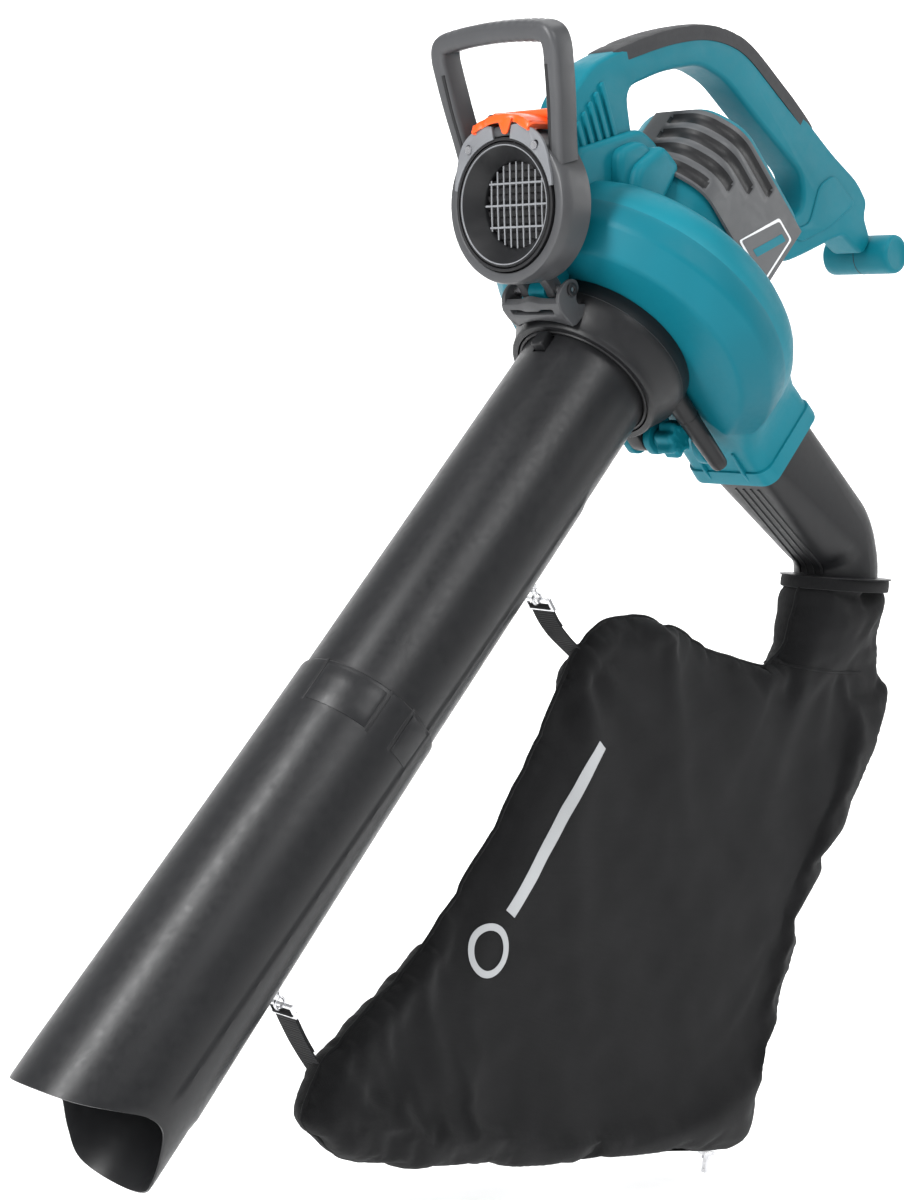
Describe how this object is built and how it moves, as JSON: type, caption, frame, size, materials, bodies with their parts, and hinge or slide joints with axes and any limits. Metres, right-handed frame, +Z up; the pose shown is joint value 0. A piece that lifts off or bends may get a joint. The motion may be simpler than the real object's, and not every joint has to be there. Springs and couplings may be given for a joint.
{
  "type": "leaf blower",
  "caption": "Electric leaf blower and vacuum in vacuum form: motor and fan housing with loop handles, two-piece suction tube, discharge pipe and fabric collecting bag.",
  "frame": {"origin": "middle of the main grip, on the tool's middle plane", "axes": "+X the way the suction tube points along the ground, +Y to the tool's left, +Z up as it is held in use"},
  "size_m": [1.016, 0.284, 1.1028],
  "materials": {
    "teal_plastic": "satin",
    "deep_teal_plastic": "fine texture",
    "light_grey_plastic": "satin",
    "mid_grey_plastic": "satin",
    "dark_tube_plastic": "satin",
    "black_plastic": "satin",
    "fan_plastic": "matt",
    "orange_plastic": "gloss",
    "knob_plastic": "satin",
    "grille_plastic": "satin",
    "soft_grip": "matt",
    "zinc_screw": "zinc plated",
    "spring_steel": "bright",
    "lamination_steel": "oiled",
    "bearing_steel": "ground",
    "copper_wire": "enamelled",
    "brush_carbon": "matt",
    "frame_plastic": "matt",
    "bag_fabric": "woven",
    "webbing": "ribbed webbing",
    "zip_tape": "woven tape with moulded teeth",
    "hook_metal": "nickel plated"
  },
  "bodies": {
    "tool": {"fan_housing_front": "deep_teal_plastic", "fan_housing_rear": "teal_plastic", "motor_cover_left": "teal_plastic", "motor_cover_right": "teal_plastic", "vent_panel": "light_grey_plastic", "vent_louvres": "black_plastic", "handle_left": "teal_plastic", "handle_right": "teal_plastic", "grip_overmould": "soft_grip", "housing_screws": "zinc_screw", "mains_inlet": "black_plastic", "switch_module": "black_plastic", "stator": "lamination_steel", "field_coils": "copper_wire", "front_bearing": "bearing_steel", "rear_bearing": "bearing_steel", "motor_plate": "lamination_steel", "rear_bracket": "frame_plastic", "carbon_brushes": "brush_carbon", "suction_hood": "dark_tube_plastic", "hood_gasket": "soft_grip", "hood_arm": "dark_tube_plastic", "hinge_bracket": "mid_grey_plastic", "hinge_pin": "zinc_screw", "bracket_screws": "zinc_screw", "upper_tube": "dark_tube_plastic", "lower_tube": "dark_tube_plastic", "button_spring": "spring_steel", "clamp_nut": "zinc_screw", "discharge_pipe": "dark_tube_plastic", "bag_flange": "dark_tube_plastic", "bag": "bag_fabric", "zipper": "zip_tape", "bag_straps": "webbing", "strap_links": "hook_metal", "hook_eyes": "hook_metal"},
    "rotor": {"motor_shaft": "spring_steel", "impeller": "fan_plastic", "impeller_nut": "zinc_screw", "cooling_fan": "black_plastic", "armature": "lamination_steel", "commutator": "copper_wire"},
    "intake_cover": {"front_handle": "mid_grey_plastic", "cover_funnel": "black_plastic", "intake_grille": "grille_plastic", "cover_wings": "light_grey_plastic", "cover_screws": "zinc_screw", "lever_pin": "zinc_screw", "lever_spring": "spring_steel"},
    "latch_lever": {"release_lever": "orange_plastic"},
    "clamp_knob": {"star_knob": "knob_plastic", "knob_bolt": "zinc_screw"},
    "speed_wheel": {"speed_dial": "black_plastic"},
    "tube_lock": {"tube_button": "black_plastic"},
    "upper_clip": {"upper_hook": "hook_metal"},
    "upper_clip_gate": {"upper_gate": "hook_metal"},
    "lower_clip": {"lower_hook": "hook_metal"},
    "lower_clip_gate": {"lower_gate": "hook_metal"},
    "zip_runner": {"zip_slider": "hook_metal"},
    "zip_tab": {"zip_pull": "hook_metal"}
  },
  "joints": [
    {"name": "fan_spin", "type": "hinge", "parent": "tool", "child": "rotor", "pos_m": [0.05896, 0, -0.31933], "axis": [0.5878, 0, -0.809], "continuous": true},
    {"name": "cover_swing", "type": "hinge", "parent": "tool", "child": "intake_cover", "pos_m": [0.12627, 0, -0.24695], "axis": [0, 1, 0], "range_deg": [0, 18]},
    {"name": "latch_lift", "type": "hinge", "parent": "intake_cover", "child": "latch_lever", "pos_m": [0.17222, 0, -0.10165], "axis": [0, -1, 0], "range_deg": [0, 12], "stiffness_Nm_per_rad": 0.8, "springref_deg": -5.73, "deforming": ["lever_spring"]},
    {"name": "knob_turn", "type": "hinge", "parent": "tool", "child": "clamp_knob", "pos_m": [-0.03623, 0, -0.35759], "axis": [0, 1, 0], "continuous": true},
    {"name": "speed_turn", "type": "hinge", "parent": "tool", "child": "speed_wheel", "pos_m": [0.10606, 0, -0.06262], "axis": [0, 1, 0], "range_deg": [0, 120]},
    {"name": "lock_press", "type": "slide", "parent": "tool", "child": "tube_lock", "axis": [-0.809, 0, -0.5878], "range_m": [0, 0.004], "stiffness_N_per_m": 900, "springref_m": -0.002, "deforming": ["button_spring"]},
    {"name": "upper_clip_twist", "type": "hinge", "parent": "tool", "child": "upper_clip", "pos_m": [0.10438, 0, -0.50264], "axis": [-0.6983, 0, -0.7158], "range_deg": [-12, 12]},
    {"name": "upper_gate_open", "type": "hinge", "parent": "upper_clip", "child": "upper_clip_gate", "pos_m": [0.09824, 0.006, -0.50894], "axis": [0.7158, 0, -0.6983], "range_deg": [0, 25], "stiffness_Nm_per_rad": 0.002, "springref_deg": -17.19},
    {"name": "lower_clip_twist", "type": "hinge", "parent": "tool", "child": "lower_clip", "pos_m": [0.35584, 0, -0.8564], "axis": [-0.6078, 0, -0.7941], "range_deg": [-12, 12]},
    {"name": "lower_gate_open", "type": "hinge", "parent": "lower_clip", "child": "lower_clip_gate", "pos_m": [0.35049, 0.006, -0.86339], "axis": [0.7941, 0, -0.6078], "range_deg": [0, 25], "stiffness_Nm_per_rad": 0.002, "springref_deg": -17.19},
    {"name": "zip_run", "type": "slide", "parent": "tool", "child": "zip_runner", "axis": [0.9984, 0, 0.0564], "range_m": [0, 0.37]},
    {"name": "zip_tab_swing", "type": "hinge", "parent": "zip_runner", "child": "zip_tab", "pos_m": [-0.23059, 0.018, -1.05079], "axis": [0, 1, 0], "range_deg": [-20, 20]}
  ]
}
